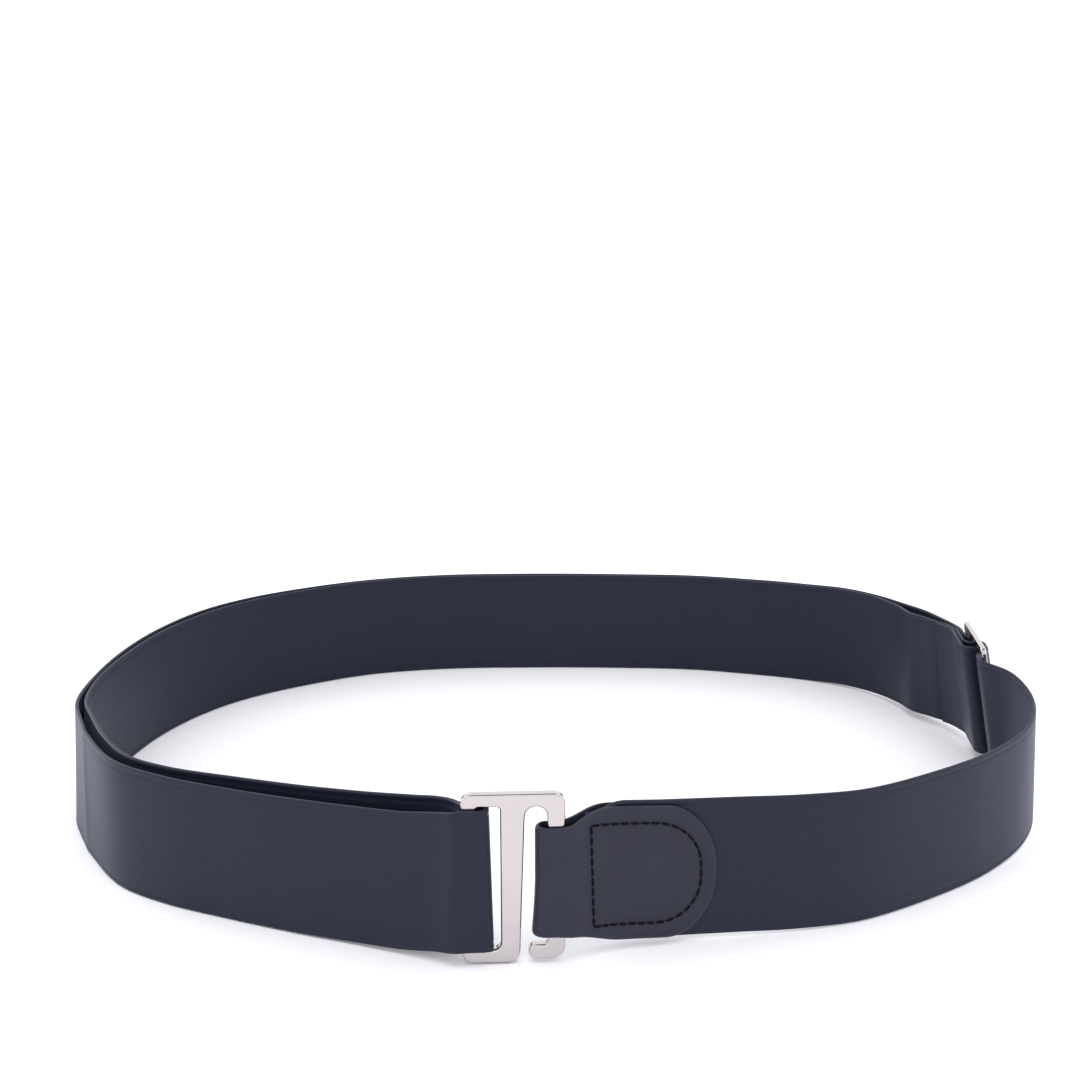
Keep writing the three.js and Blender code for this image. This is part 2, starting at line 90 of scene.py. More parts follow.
# Rows from the slide, along the back and the left end, to the hook's left bar
backRows = [
    {"x": 0.4760, "y": 0.1900, "lean": 2.5, "gap": 0.30, "hook": 0, "slide": 0.9},
    {"x": 0.4655, "y": 0.2250, "lean": 2.2, "gap": 0.50, "hook": 0, "slide": 0.8},
    {"x": 0.4520, "y": 0.2660, "lean": 1.8, "gap": 0.82, "hook": 0, "slide": 0.65},
    {"x": 0.4330, "y": 0.3100, "lean": 1.5, "gap": 0.42, "hook": 0, "slide": 0.45},
    {"x": 0.4070, "y": 0.3600, "lean": 1.2, "gap": 0.22, "hook": 0, "slide": 0.3},
    {"x": 0.3700, "y": 0.4080, "lean": 1, "gap": 0.21, "hook": 0, "slide": 0.15},
    {"x": 0.3210, "y": 0.4410, "lean": 1, "gap": 0.21, "hook": 0, "slide": 0},
    {"x": 0.2600, "y": 0.4660, "lean": 1, "gap": 0.21, "hook": 0, "slide": 0},
    {"x": 0.1820, "y": 0.4890, "lean": 1, "gap": 0.21, "hook": 0, "slide": 0},
    {"x": 0.0830, "y": 0.4980, "lean": 1, "gap": 0.21, "hook": 0, "slide": 0},
    {"x": -0.0265, "y": 0.5000, "lean": 1, "gap": 0.21, "hook": 0, "slide": 0},
    {"x": -0.1390, "y": 0.4920, "lean": 1, "gap": 0.21, "hook": 0, "slide": 0},
    {"x": -0.2320, "y": 0.4660, "lean": 1, "gap": 0.21, "hook": 0, "slide": 0},
    {"x": -0.3080, "y": 0.4220, "lean": 1, "gap": 0.30, "hook": 0, "slide": 0},
    {"x": -0.3760, "y": 0.3650, "lean": 1, "gap": 0.36, "hook": 0, "slide": 0},
    {"x": -0.4290, "y": 0.2920, "lean": 1, "gap": 0.38, "hook": 0, "slide": 0},
    {"x": -0.4670, "y": 0.1970, "lean": 1, "gap": 0.32, "hook": 0, "slide": 0},
    {"x": -0.4900, "y": 0.0920, "lean": 1, "gap": 0.28, "hook": 0, "slide": 0},
    {"x": -0.5000, "y": -0.0140, "lean": 1, "gap": 0.21, "hook": 0, "slide": 0},
    {"x": -0.4987, "y": -0.1080, "lean": 1, "gap": 0.32, "hook": 0, "slide": 0},
    {"x": -0.4820, "y": -0.1720, "lean": 0.8, "gap": 0.44, "hook": 0, "slide": 0},
    {"x": -0.4530, "y": -0.2500, "lean": 0.4, "gap": 0.53, "hook": 0, "slide": 0},
    {"x": -0.4180, "y": -0.3160, "lean": 0.25, "gap": 0.60, "hook": 0, "slide": 0},
    {"x": -0.3700, "y": -0.3600, "lean": 0.25, "gap": 0.70, "hook": 0, "slide": 0},
    {"x": -0.3030, "y": -0.3990, "lean": 0.3, "gap": 0.90, "hook": 0, "slide": 0},
    {"x": -0.2380, "y": -0.4320, "lean": 0.5, "gap": 1.00, "hook": 0.04, "slide": 0},
    {"x": -0.1850, "y": -0.4560, "lean": 0.6, "gap": 1.12, "hook": 0.12, "slide": 0},
    {"x": -0.1380, "y": -0.4790, "lean": 0.7, "gap": 1.28, "hook": 0.3, "slide": 0},
    {"x": -0.1120, "y": -0.4920, "lean": 0.8, "gap": 1.16, "hook": 0.6, "slide": 0},
]

# What follows from the sizes
layerStep = elastic["thick"] + ring["clearance"]
hookHeight = elastic["width"] + 2 * (ring["clearance"] + hook["arm"])
slideHeight = elastic["width"] + 2 * (ring["clearance"] + slide["rail"])
hookTilt = math.asin(ring["topLean"] / elastic["width"])
slideTilt = math.asin(ring["slideLean"] / elastic["width"])
foldRadius = hook["thick"] / 2 + ring["clearance"] + elastic["thick"] / 2
tabFold = hook["thick"] / 2 + ring["clearance"] + leather["thick"] / 2
tabSeat = elastic["thick"] / 2 + ring["clearance"] + leather["thick"] / 2
wrapRadius = ring["clearance"] + elastic["thick"] / 2
strandDepth = slide["thick"] / 2 + wrapRadius
rightBar = hook["width"] - hook["bar"] - hook["window"] - hook["spineTop"] - hook["slot"]
hookX, hookY = hook["x"] * ring["width"], hook["y"] * ring["depth"]
slideX, slideY = slide["x"] * ring["width"], slide["y"] * ring["depth"]


def plateMidHeight(height, thick, tilt):
    return height / 2 * math.cos(tilt) + thick / 2 * math.sin(tilt)


hookMidZ = plateMidHeight(hookHeight, hook["thick"], hookTilt)
slideMidZ = plateMidHeight(slideHeight, slide["thick"], slideTilt)


def smoothstep(value, low, high):
    share = np.clip((value - low) / (high - low), 0, 1)
    return share * share * (3 - 2 * share)


def lengthsAlong(points):
    return np.concatenate([[0], np.cumsum(np.linalg.norm(np.diff(points, axis=0), axis=1))])


# The line of the belt, seen from above: x, y, lean, gap, hook share and slide share in each row
def tableRows(rows):
    return [
        [
            row["x"] * ring["width"], row["y"] * ring["depth"], row["lean"] * ring["topLean"],
            row["gap"] * ring["layerGap"], row["hook"], row["slide"],
        ]
        for row in rows
    ]


def hookRow(across, out, gap):
    along = across - hook["width"] / 2
    c, s = math.cos(hook["turn"]), math.sin(hook["turn"])
    return [hookX + along * c + out * s, hookY + along * s - out * c, ring["topLean"], gap, 1, 0]


def slideRows():
    half = slide["width"] / 2 + elastic["thick"]
    rows = []
    for along in (-half, elastic["thick"] - half, 0, half - elastic["thick"], half):
        x = slideX + along * math.sin(slide["turn"])
        y = slideY + along * math.cos(slide["turn"])
        rows.append([x, y, ring["slideLean"], layerStep, 0, 1])
    return rows


# Catmull-Rom through rows: power 0.25 is centripetal, None is uniform
def curveThrough(rows, shares, power):
    pts = np.array(rows, float)
    pad = np.vstack([2 * pts[0] - pts[1], pts, 2 * pts[-1] - pts[-2]])
    spot = (len(pts) - 1) * shares
    first = np.minimum(spot.astype(int), len(pts) - 2)
    w = (spot - first)[:, None]
    p0, p1, p2, p3 = (pad[first + k] for k in range(4))
    if power is None:
        t1, t2 = (p2 - p0) / 2, (p3 - p1) / 2
    else:
        d0, d1, d2 = (
            ((b - a) ** 2).sum(1)[:, None] ** power for a, b in ((p0, p1), (p1, p2), (p2, p3))
        )
        t1 = ((p1 - p0) / d0 - (p2 - p0) / (d0 + d1) + (p2 - p1) / d1) * d1
        t2 = ((p2 - p1) / d1 - (p3 - p1) / (d1 + d2) + (p3 - p2) / d2) * d1
    square = -3 * p1 + 3 * p2 - 2 * t1 - t2
    cube = 2 * p1 - 2 * p2 + t1 + t2
    return p1 + t1 * w + square * w**2 + cube * w**3


def measureOval():
    barEnd = hook["width"]
    gap = ring["clearance"]
    starts = (barEnd - rightBar - gap, barEnd - leather["thick"], barEnd + gap)
    rows = [hookRow(a, 0, 0) for a in starts]
    rows += tableRows(frontRows) + slideRows() + tableRows(backRows)
    barMiddle = hook["bar"] + elastic["thick"] / 2
    rows += [hookRow(a, foldRadius, 2 * foldRadius) for a in (-layerStep, 0, barMiddle)]
    table = np.array(rows, float)
    count = round(2 * (ring["width"] + ring["depth"]) / ring["step"])
    shares = np.linspace(0, 1, count + 1)
    plan = curveThrough(table[:, :2], shares, 0.25)
    rest = curveThrough(table[:, 2:], shares, None)
    rest[:, 2:] = np.maximum(rest[:, 2:], 0)
    tangent = np.gradient(plan, axis=0)
    tangent /= np.linalg.norm(tangent, axis=1)[:, None]
    along = lengthsAlong(plan)
    return {"along": along, "values": np.hstack([plan, tangent, rest])}


oval = measureOval()
ovalLength = oval["along"][-1]
slideGaps = np.hypot(oval["values"][:, 0] - slideX, oval["values"][:, 1] - slideY)
slideAlong = oval["along"][np.argmin(slideGaps)]


# x, y, tangent x, tangent y, lean, gap, hook share and slide share at distances along the oval
def ovalAt(along):
    along = np.clip(np.atleast_1d(np.asarray(along, float)), 0, ovalLength)
    return np.stack([np.interp(along, oval["along"], column) for column in oval["values"].T], axis=1)


# Middle points and width directions of a strip, at an offset outwards from the oval
def place(along, out):
    mark = ovalAt(along)
    out = np.broadcast_to(np.asarray(out, float), (len(mark),))
    size = np.hypot(mark[:, 2], mark[:, 3])
    outward = np.stack([mark[:, 3] / size, -mark[:, 2] / size], axis=1)
    share = mark[:, 4] / elastic["width"]
    up = np.column_stack([-outward * share[:, None], np.sqrt(1 - share**2)])
    hookRise = mark[:, 6] * (hookMidZ - elastic["width"] / 2 * math.cos(hookTilt))
    slideRise = mark[:, 7] * (slideMidZ - elastic["width"] / 2 * math.cos(slideTilt))
    z = elastic["width"] / 2 * up[:, 2] + hookRise + slideRise
    middle = np.column_stack([mark[:, :2] + outward * out[:, None], z])
    return middle, up, outward


def runPlaces(start, end, offsetOf):
    count = max(2, round(abs(end - start) / ring["step"]))
    along = np.linspace(start, end, count + 1)
    middle, up, _ = place(along, offsetOf(along))
    # the strap's lean turns over some millimetres on each side of the slide
    steady = slide["width"] / 2 + elastic["leanFrom"]
    for side in (-1, 1):
        gone = side * (along - slideAlong) - steady
        near = (gone > 0) & (gone < elastic["leanRun"])
        edge = slideAlong + side * steady
        ends = place(np.array([edge, edge + side * elastic["leanRun"]]), 0)[1]
        share = (gone[near] / elastic["leanRun"])[:, None]
        up[near] = ends[0] * (1 - share) + ends[1] * share
    # turns tighter than the strap is thick relax, the turns round the bars stay
    for _ in range(elastic["relaxRounds"]):
        sag = (middle[:-2] + middle[2:]) / 2 - middle[1:-1]
        span = np.linalg.norm(middle[2:] - middle[:-2], axis=1) / 2
        bend = 2 * np.linalg.norm(sag, axis=1) / np.maximum(span, 0.01) ** 2
        tight = 0.5 * smoothstep(bend, elastic["tightFrom"], elastic["tightTo"])[:, None]
        middle[1:-1] += tight * sag
        up[1:-1] += tight * ((up[:-2] + up[2:]) / 2 - up[1:-1])
    return middle, up / np.linalg.norm(up, axis=1)[:, None]


def bendPlaces(along, out, radius, startAngle, endAngle):
    middle, up, outward = place([along], [out])
    mark = ovalAt([along])[0]
    size = math.hypot(mark[2], mark[3])
    tangent = np.array([mark[2] / size, mark[3] / size, 0])
    outward = np.array([outward[0][0], outward[0][1], 0])
    count = max(2, math.ceil(abs(endAngle - startAngle) / ring["bendStep"]))
    angles = np.linspace(startAngle, endAngle, count + 1)[:, None]
    points = middle[0] + radius * (outward * np.cos(angles) + tangent * np.sin(angles))
    return points, np.repeat(up, count + 1, axis=0)


# The elastic lifts over the slide's middle bar and lies inside its side bars
def weave(along):
    height = 2 * strandDepth + layerStep
    foot = slide["width"] / 2 - slide["bar"] - ring["clearance"]
    return height * (1 - smoothstep(np.abs(along - slideAlong), slide["middle"] / 2, foot))


# The whole strap in one run, from the sewn end to the end turned back at the slide
def bandPlaces():
    half = slide["middle"] / 2
    turnIn = strandDepth + layerStep
    turnBack = layerStep + elastic["thick"]
    near = slideAlong + half + wrapRadius
    far = slideAlong - half - wrapRadius
    lower = -2 * layerStep
    plateFace = strandDepth + slide["thick"] / 2

    def innerGap(along):
        return -ovalAt(along)[:, 5]

    def flapGap(along):
        return innerGap(along) - layerStep

    parts = [
        runPlaces(elastic["start"], ovalLength, weave),
        bendPlaces(ovalLength, -foldRadius, foldRadius, 0, math.pi),
        runPlaces(ovalLength - ring["clearance"], near + turnIn + ring["clearance"], innerGap),
        bendPlaces(near + turnIn, strandDepth, turnIn, math.pi, 1.5 * math.pi),
        bendPlaces(slideAlong + half, plateFace, wrapRadius, math.pi / 2, 0),
        bendPlaces(slideAlong - half, plateFace, wrapRadius, 0, -math.pi / 2),
        bendPlaces(far + turnBack, lower + turnBack, turnBack, -math.pi / 2, -math.pi),
        runPlaces(far + turnBack + elastic["thick"], slideAlong + elastic["flap"], flapGap),
    ]
    return np.vstack([p[0] for p in parts]), np.vstack([p[1] for p in parts])


# Directions of a line at its points, level, with the same ends
def headings(points):
    step = np.zeros_like(points)
    step[1:-1] = points[2:] - points[:-2]
    step[0], step[-1] = points[1] - points[0], points[-1] - points[-2]
    step[:, 2] = 0
    return step / np.linalg.norm(step, axis=1)[:, None]


# Keeps a place wherever the strip has run or turned far enough
def thinned(points, ups):
    gaps = np.linalg.norm(np.diff(points, axis=0), axis=1)
    keep = np.concatenate([[True], gaps > elastic["nearest"]])
    points, ups = points[keep], ups[keep]
    heading = headings(points)
    kept, last = [0], 0
    for i in range(1, len(points) - 1):
        gone = np.linalg.norm(points[i] - points[last])
        turned = math.acos(max(-1.0, min(1.0, float(heading[i] @ heading[last]))))
        if gone > elastic["step"] or (gone > elastic["shortest"] and turned > elastic["turn"]):
            kept.append(i)
            last = i
    kept.append(len(points) - 1)
    return points[kept], ups[kept]


bandPoints, bandUps = thinned(*bandPlaces())

# The part's origin lies under the middle of the belt, which the elastic's box gives
nodeLow, nodeHigh = (np.array(corner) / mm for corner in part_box("elastic_band"))
bandHeadings = headings(bandPoints)
bandAcross = np.column_stack([bandHeadings[:, 1], -bandHeadings[:, 0], np.zeros(len(bandPoints))])
corners = np.vstack([
    bandPoints + side * bandAcross * elastic["thick"] / 2 + end * bandUps * elastic["width"] / 2
    for side in (-1, 1) for end in (-1, 1)
])
shift = (nodeLow + nodeHigh) / 2 - (corners.min(0) + corners.max(0)) / 2
shift[2] = 0
print(f"oval measured: {ovalLength:.0f} mm round, {len(bandPoints)} places, shift {shift.round(3)}")


# Camera at the photograph's angle
view = {"x": -4.7, "y": -457.0, "z": 224.6, "pitch": math.radians(16.94), "lens": 50.0, "sensor": 36.0}
cameraData = bpy.data.cameras.new("camera")
cameraData.lens = view["lens"]
cameraData.sensor_width = view["sensor"]
camera = bpy.data.objects.new("camera", cameraData)
camera.location = Vector((view["x"] + shift[0], view["y"] + shift[1], view["z"])) * mm
camera.rotation_euler = (math.pi / 2 - view["pitch"], 0, 0)
bpy.context.collection.objects.link(camera)
bpy.context.scene.camera = camera


# Small helpers
def linkMesh(name, points, faces, uvs=None):
    mesh = bpy.data.meshes.new(name)
    mesh.from_pydata([tuple(p) for p in points], [], faces)
    if uvs is not None:
        layer = mesh.uv_layers.new(name="UVMap")
        loops = np.zeros(len(mesh.loops), int)
        mesh.loops.foreach_get("vertex_index", loops)
        layer.data.foreach_set("uv", np.asarray(uvs)[loops].ravel())
    mesh.validate()
    obj = bpy.data.objects.new(name, mesh)
    bpy.context.collection.objects.link(obj)
    return obj


def pick(obj):
    if bpy.context.object and bpy.context.object.mode != "OBJECT":
        bpy.ops.object.mode_set(mode="OBJECT")
    bpy.ops.object.select_all(action="DESELECT")
    bpy.context.view_layer.objects.active = obj
    obj.select_set(True)


def applyModifier(obj, kind, **settings):
    pick(obj)
    modifier = obj.modifiers.new(kind.lower(), kind)
    for key, value in settings.items():
        setattr(modifier, key, value)
    bpy.ops.object.modifier_apply(modifier=modifier.name)


def smooth(obj, angle=60):
    pick(obj)
    bpy.ops.object.shade_smooth_by_angle(angle=math.radians(angle))


def turnOutwards(obj):
    pick(obj)
    bpy.ops.object.mode_set(mode="EDIT")
    bpy.ops.mesh.select_all(action="SELECT")
    bpy.ops.mesh.normals_make_consistent(inside=False)
    bpy.ops.object.mode_set(mode="OBJECT")


def newMaterial(name):
    material = bpy.data.materials.new(name)
    material.use_nodes = True
    tree = material.node_tree
    return material, tree, tree.nodes["Principled BSDF"]


def addNode(tree, kind, **settings):
    node = tree.nodes.new(kind)
    for key, value in settings.items():
        if key in node.inputs.keys():
            node.inputs[key].default_value = value
        else:
            setattr(node, key, value)
    return node


# Materials
def elasticMaterial():
    weaveLook = {
        "rib": 1450.0, "pick": 1150.0, "bump": 0.15, "depth": 0.0001, "stagger": 2.2, "pickShare": 0.55,
        "rough": 0.46, "shine": 0.22, "sheen": 0.09, "streaks": (60.0, 900.0, 1.0), "ribShade": 0.1,
        "dark": (0.0094, 0.0114, 0.0252, 1), "light": (0.0119, 0.0142, 0.0305, 1),
    }
    material, tree, shader = newMaterial("navyElastic")
    shader.inputs["Roughness"].default_value = weaveLook["rough"]
    shader.inputs["Specular IOR Level"].default_value = weaveLook["shine"]
    shader.inputs["Sheen Weight"].default_value = weaveLook["sheen"]
    shader.inputs["Sheen Roughness"].default_value = 0.4
    shader.inputs["Sheen Tint"].default_value = (0.6, 0.7, 1.0, 1.0)
    uv = addNode(tree, "ShaderNodeUVMap", uv_map="UVMap")
    split = addNode(tree, "ShaderNodeSeparateXYZ")
    tree.links.new(uv.outputs[0], split.inputs[0])

    def wave(axis, rate, shiftBy=None):
        times = addNode(tree, "ShaderNodeMath", operation="MULTIPLY")
        times.inputs[1].default_value = 2 * math.pi * rate
        tree.links.new(split.outputs[axis], times.inputs[0])
        last = times
        if shiftBy is not None:
            last = addNode(tree, "ShaderNodeMath", operation="ADD")
            tree.links.new(times.outputs[0], last.inputs[0])
            tree.links.new(shiftBy, last.inputs[1])
        sine = addNode(tree, "ShaderNodeMath", operation="SINE")
        tree.links.new(last.outputs[0], sine.inputs[0])
        return sine.outputs[0]

    ribs = wave(1, weaveLook["rib"])
    # every second rib has its picks half a step further on, as in a plain weave
    halfRib = addNode(tree, "ShaderNodeMath", operation="MULTIPLY")
    halfRib.inputs[1].default_value = weaveLook["stagger"]
    tree.links.new(wave(1, weaveLook["rib"] / 2), halfRib.inputs[0])
    picks = wave(0, weaveLook["pick"], halfRib.outputs[0])
    height = addNode(tree, "ShaderNodeMath", operation="MULTIPLY_ADD")
    height.inputs[1].default_value = weaveLook["pickShare"]
    tree.links.new(picks, height.inputs[0])
    tree.links.new(ribs, height.inputs[2])
    bump = addNode(tree, "ShaderNodeBump", Strength=weaveLook["bump"], Distance=weaveLook["depth"])
    tree.links.new(height.outputs[0], bump.inputs["Height"])
    tree.links.new(bump.outputs[0], shader.inputs["Normal"])

    # long faint streaks of tone along the strap, with painted shade in the valleys between the ribs and
    # a painted lighter tone on their tops
    stretchMap = addNode(tree, "ShaderNodeMapping")
    stretchMap.inputs["Scale"].default_value = weaveLook["streaks"]
    tree.links.new(uv.outputs[0], stretchMap.inputs["Vector"])
    streak = addNode(tree, "ShaderNodeTexNoise", Scale=1.0, Detail=3.0)
    tree.links.new(stretchMap.outputs[0], streak.inputs["Vector"])
    blend = addNode(tree, "ShaderNodeMath", operation="MULTIPLY_ADD")
    blend.inputs[1].default_value = weaveLook["ribShade"]
    tree.links.new(height.outputs[0], blend.inputs[0])
    tree.links.new(streak.outputs["Fac"], blend.inputs[2])
    ramp = addNode(tree, "ShaderNodeValToRGB")
    ramp.color_ramp.elements[0].position = 0.25
    ramp.color_ramp.elements[0].color = weaveLook["dark"]
    ramp.color_ramp.elements[1].position = 0.8
    ramp.color_ramp.elements[1].color = weaveLook["light"]
    tree.links.new(blend.outputs[0], ramp.inputs[0])
    tree.links.new(ramp.outputs[0], shader.inputs["Base Color"])
    return material


def leatherMaterial():
    grain = {
        "scale": 2600.0, "fine": 7000.0, "broad": 90.0, "strength": 0.22, "depth": 0.00006,
        "shine": 0.33, "rough": (0.42, 0.54),
        "dark": (0.0105, 0.0118, 0.0250, 1), "light": (0.0142, 0.0158, 0.0320, 1),
    }
    material, tree, shader = newMaterial("navyLeather")
    shader.inputs["Specular IOR Level"].default_value = grain["shine"]
    coords = addNode(tree, "ShaderNodeTexCoord")
    cells = addNode(tree, "ShaderNodeTexVoronoi", feature="F1", Scale=grain["scale"])
    fine = addNode(tree, "ShaderNodeTexNoise", Scale=grain["fine"], Detail=2.0)
    broad = addNode(tree, "ShaderNodeTexNoise", Scale=grain["broad"], Detail=3.0)
    for node in (cells, fine, broad):
        tree.links.new(coords.outputs["Object"], node.inputs["Vector"])
    height = addNode(tree, "ShaderNodeMath", operation="MULTIPLY_ADD")
    height.inputs[1].default_value = 0.5
    tree.links.new(fine.outputs["Fac"], height.inputs[0])
    tree.links.new(cells.outputs["Distance"], height.inputs[2])
    bump = addNode(tree, "ShaderNodeBump", Strength=grain["strength"], Distance=grain["depth"])
    tree.links.new(height.outputs[0], bump.inputs["Height"])
    tree.links.new(bump.outputs[0], shader.inputs["Normal"])
    ramp = addNode(tree, "ShaderNodeValToRGB")
    ramp.color_ramp.elements[0].position = 0.3
    ramp.color_ramp.elements[0].color = grain["dark"]
    ramp.color_ramp.elements[1].position = 0.75
    ramp.color_ramp.elements[1].color = grain["light"]
    tree.links.new(broad.outputs["Fac"], ramp.inputs[0])
    tree.links.new(ramp.outputs[0], shader.inputs["Base Color"])
    gloss = addNode(tree, "ShaderNodeMapRange")
    gloss.inputs["To Min"].default_value = grain["rough"][0]
    gloss.inputs["To Max"].default_value = grain["rough"][1]
    tree.links.new(broad.outputs["Fac"], gloss.inputs["Value"])
    tree.links.new(gloss.outputs[0], shader.inputs["Roughness"])
    return material


def nickelMaterial():
    polish = {
        "haze": 160.0, "brush": (900.0, 900.0, 9000.0), "rough": (0.12, 0.24), "bump": 0.05,
        "depth": 0.00002,
        "dark": (0.515, 0.472, 0.472, 1), "light": (0.575, 0.535, 0.53, 1),
    }
    material, tree, shader = newMaterial("polishedNickel")
    shader.inputs["Metallic"].default_value = 1.0
    coords = addNode(tree, "ShaderNodeTexCoord")
    haze = addNode(tree, "ShaderNodeTexNoise", Scale=polish["haze"], Detail=4.0)
    brushMap = addNode(tree, "ShaderNodeMapping")
    brushMap.inputs["Scale"].default_value = polish["brush"]
    brush = addNode(tree, "ShaderNodeTexNoise", Scale=1.0, Detail=2.0)
    tree.links.new(coords.outputs["Object"], haze.inputs["Vector"])
    tree.links.new(coords.outputs["Object"], brushMap.inputs["Vector"])
    tree.links.new(brushMap.outputs[0], brush.inputs["Vector"])
    gloss = addNode(tree, "ShaderNodeMapRange")
    gloss.inputs["To Min"].default_value = polish["rough"][0]
    gloss.inputs["To Max"].default_value = polish["rough"][1]
    tree.links.new(haze.outputs["Fac"], gloss.inputs["Value"])
    tree.links.new(gloss.outputs[0], shader.inputs["Roughness"])
    ramp = addNode(tree, "ShaderNodeValToRGB")
    ramp.color_ramp.elements[0].color = polish["dark"]
    ramp.color_ramp.elements[1].color = polish["light"]
    tree.links.new(haze.outputs["Fac"], ramp.inputs[0])
    tree.links.new(ramp.outputs[0], shader.inputs["Base Color"])
    bump = addNode(tree, "ShaderNodeBump", Strength=polish["bump"], Distance=polish["depth"])
    tree.links.new(brush.outputs["Fac"], bump.inputs["Height"])
    tree.links.new(bump.outputs[0], shader.inputs["Normal"])
    return material


def threadMaterial():
    yarn = {
        "twist": (6.0, 2.0, 1.0), "rough": 0.75, "shine": 0.1, "bump": 0.4, "depth": 0.00005,
        "dark": (0.0022, 0.0025, 0.0055, 1), "light": (0.0050, 0.0055, 0.0100, 1),
    }
    material, tree, shader = newMaterial("darkThread")
    shader.inputs["Roughness"].default_value = yarn["rough"]
    shader.inputs["Specular IOR Level"].default_value = yarn["shine"]
    uv = addNode(tree, "ShaderNodeUVMap", uv_map="UVMap")
    twist = addNode(
        tree, "ShaderNodeTexWave", wave_type="BANDS", bands_direction="DIAGONAL", Scale=1.0,
    )
    twistMap = addNode(tree, "ShaderNodeMapping")
    twistMap.inputs["Scale"].default_value = yarn["twist"]
    tree.links.new(uv.outputs[0], twistMap.inputs["Vector"])
    tree.links.new(twistMap.outputs[0], twist.inputs["Vector"])
    ramp = addNode(tree, "ShaderNodeValToRGB")
    ramp.color_ramp.elements[0].color = yarn["dark"]
    ramp.color_ramp.elements[1].color = yarn["light"]
    tree.links.new(twist.outputs["Fac"], ramp.inputs[0])
    tree.links.new(ramp.outputs[0], shader.inputs["Base Color"])
    bump = addNode(tree, "ShaderNodeBump", Strength=yarn["bump"], Distance=yarn["depth"])
    tree.links.new(twist.outputs["Fac"], bump.inputs["Height"])
    tree.links.new(bump.outputs[0], shader.inputs["Normal"])
    return material


navyElastic = elasticMaterial()
navyLeather = leatherMaterial()
polishedNickel = nickelMaterial()
darkThread = threadMaterial()


# The elastic: one strip with rounded edges and a selvedge along each.
# Across the strip: distance up from the middle and out from the middle layer, once round
def bandProfile():
    half, thick = elastic["width"] / 2, elastic["thick"] / 2
    fromEdge = np.array([2.6, 2.2, elastic["selvedge"], 1.4, 1.1, 0.8, elastic["edgeRound"]])
    edge = half - fromEdge
    flatHalf = half - 3.0
    inner = np.linspace(-flatHalf, flatHalf, elastic["columns"] - 2 * len(edge))
    ups = np.concatenate([-edge[::-1], inner, edge])
    groove = (half - np.abs(ups) - elastic["selvedge"]) / elastic["grooveWidth"]
    dip = elastic["selvedgeDip"] * np.exp(-groove ** 2)
    face = thick - dip
    outer = list(zip(ups, face))
    roundTop = []
    for k in range(1, 6):
        angle = math.pi / 2 - k * math.pi / 6
        roundTop.append((half - elastic["edgeRound"] * (1 - math.cos(angle)), thick * math.sin(angle)))
    innerSide = [(u, -w) for u, w in reversed(outer)]
    roundLow = [(-u, -w) for u, w in roundTop]
    return outer + roundTop + innerSide + roundLow


# Small waves of the soft edges, in millimetres out of the strip's plane
def bandFlutter(along, up):
    waves = np.sin(along / 17.0 + 0.6) + 0.6 * np.sin(along / 7.3 + 1.9) + 0.4 * np.sin(along / 31.0)
    top = np.clip(up / (elastic["width"] / 2), -1, 1)
    return elastic["flutter"] * (0.35 * waves * top**2 + 0.3 * np.sin(along / 23.0 + 2.0) * top)


# Soft upright creases: the bend at the left end, the slack by the hook and the folds by the slide
def bandCreases(along, up):
    foldAt = ovalLength - elastic["start"]
    atSlide = foldAt + math.pi * foldRadius + ovalLength - slideAlong
    creases = [
        {"at": foldAt - 137.0, "wide": 2.6, "out": 0.42, "slant": 0.02},
        {"at": foldAt - 4.0, "wide": 2.6, "out": 1.5, "slant": 0.0},
        {"at": atSlide - 45.5, "wide": 3.6, "out": -0.6, "slant": 0.0},
        {"at": atSlide - 36.5, "wide": 3.4, "out": 0.85, "slant": 0.0},
        {"at": atSlide - 30.5, "wide": 2.6, "out": -0.95, "slant": 0.0},
    ]
    out = np.zeros(np.broadcast(along, up).shape)
    for crease in creases:
        middle = crease["at"] + crease["slant"] * up
        fade = 1 - 0.45 * (up / (elastic["width"] / 2)) ** 2
        out += crease["out"] * fade * np.exp(-(((along - middle) / crease["wide"]) ** 2))
    return out


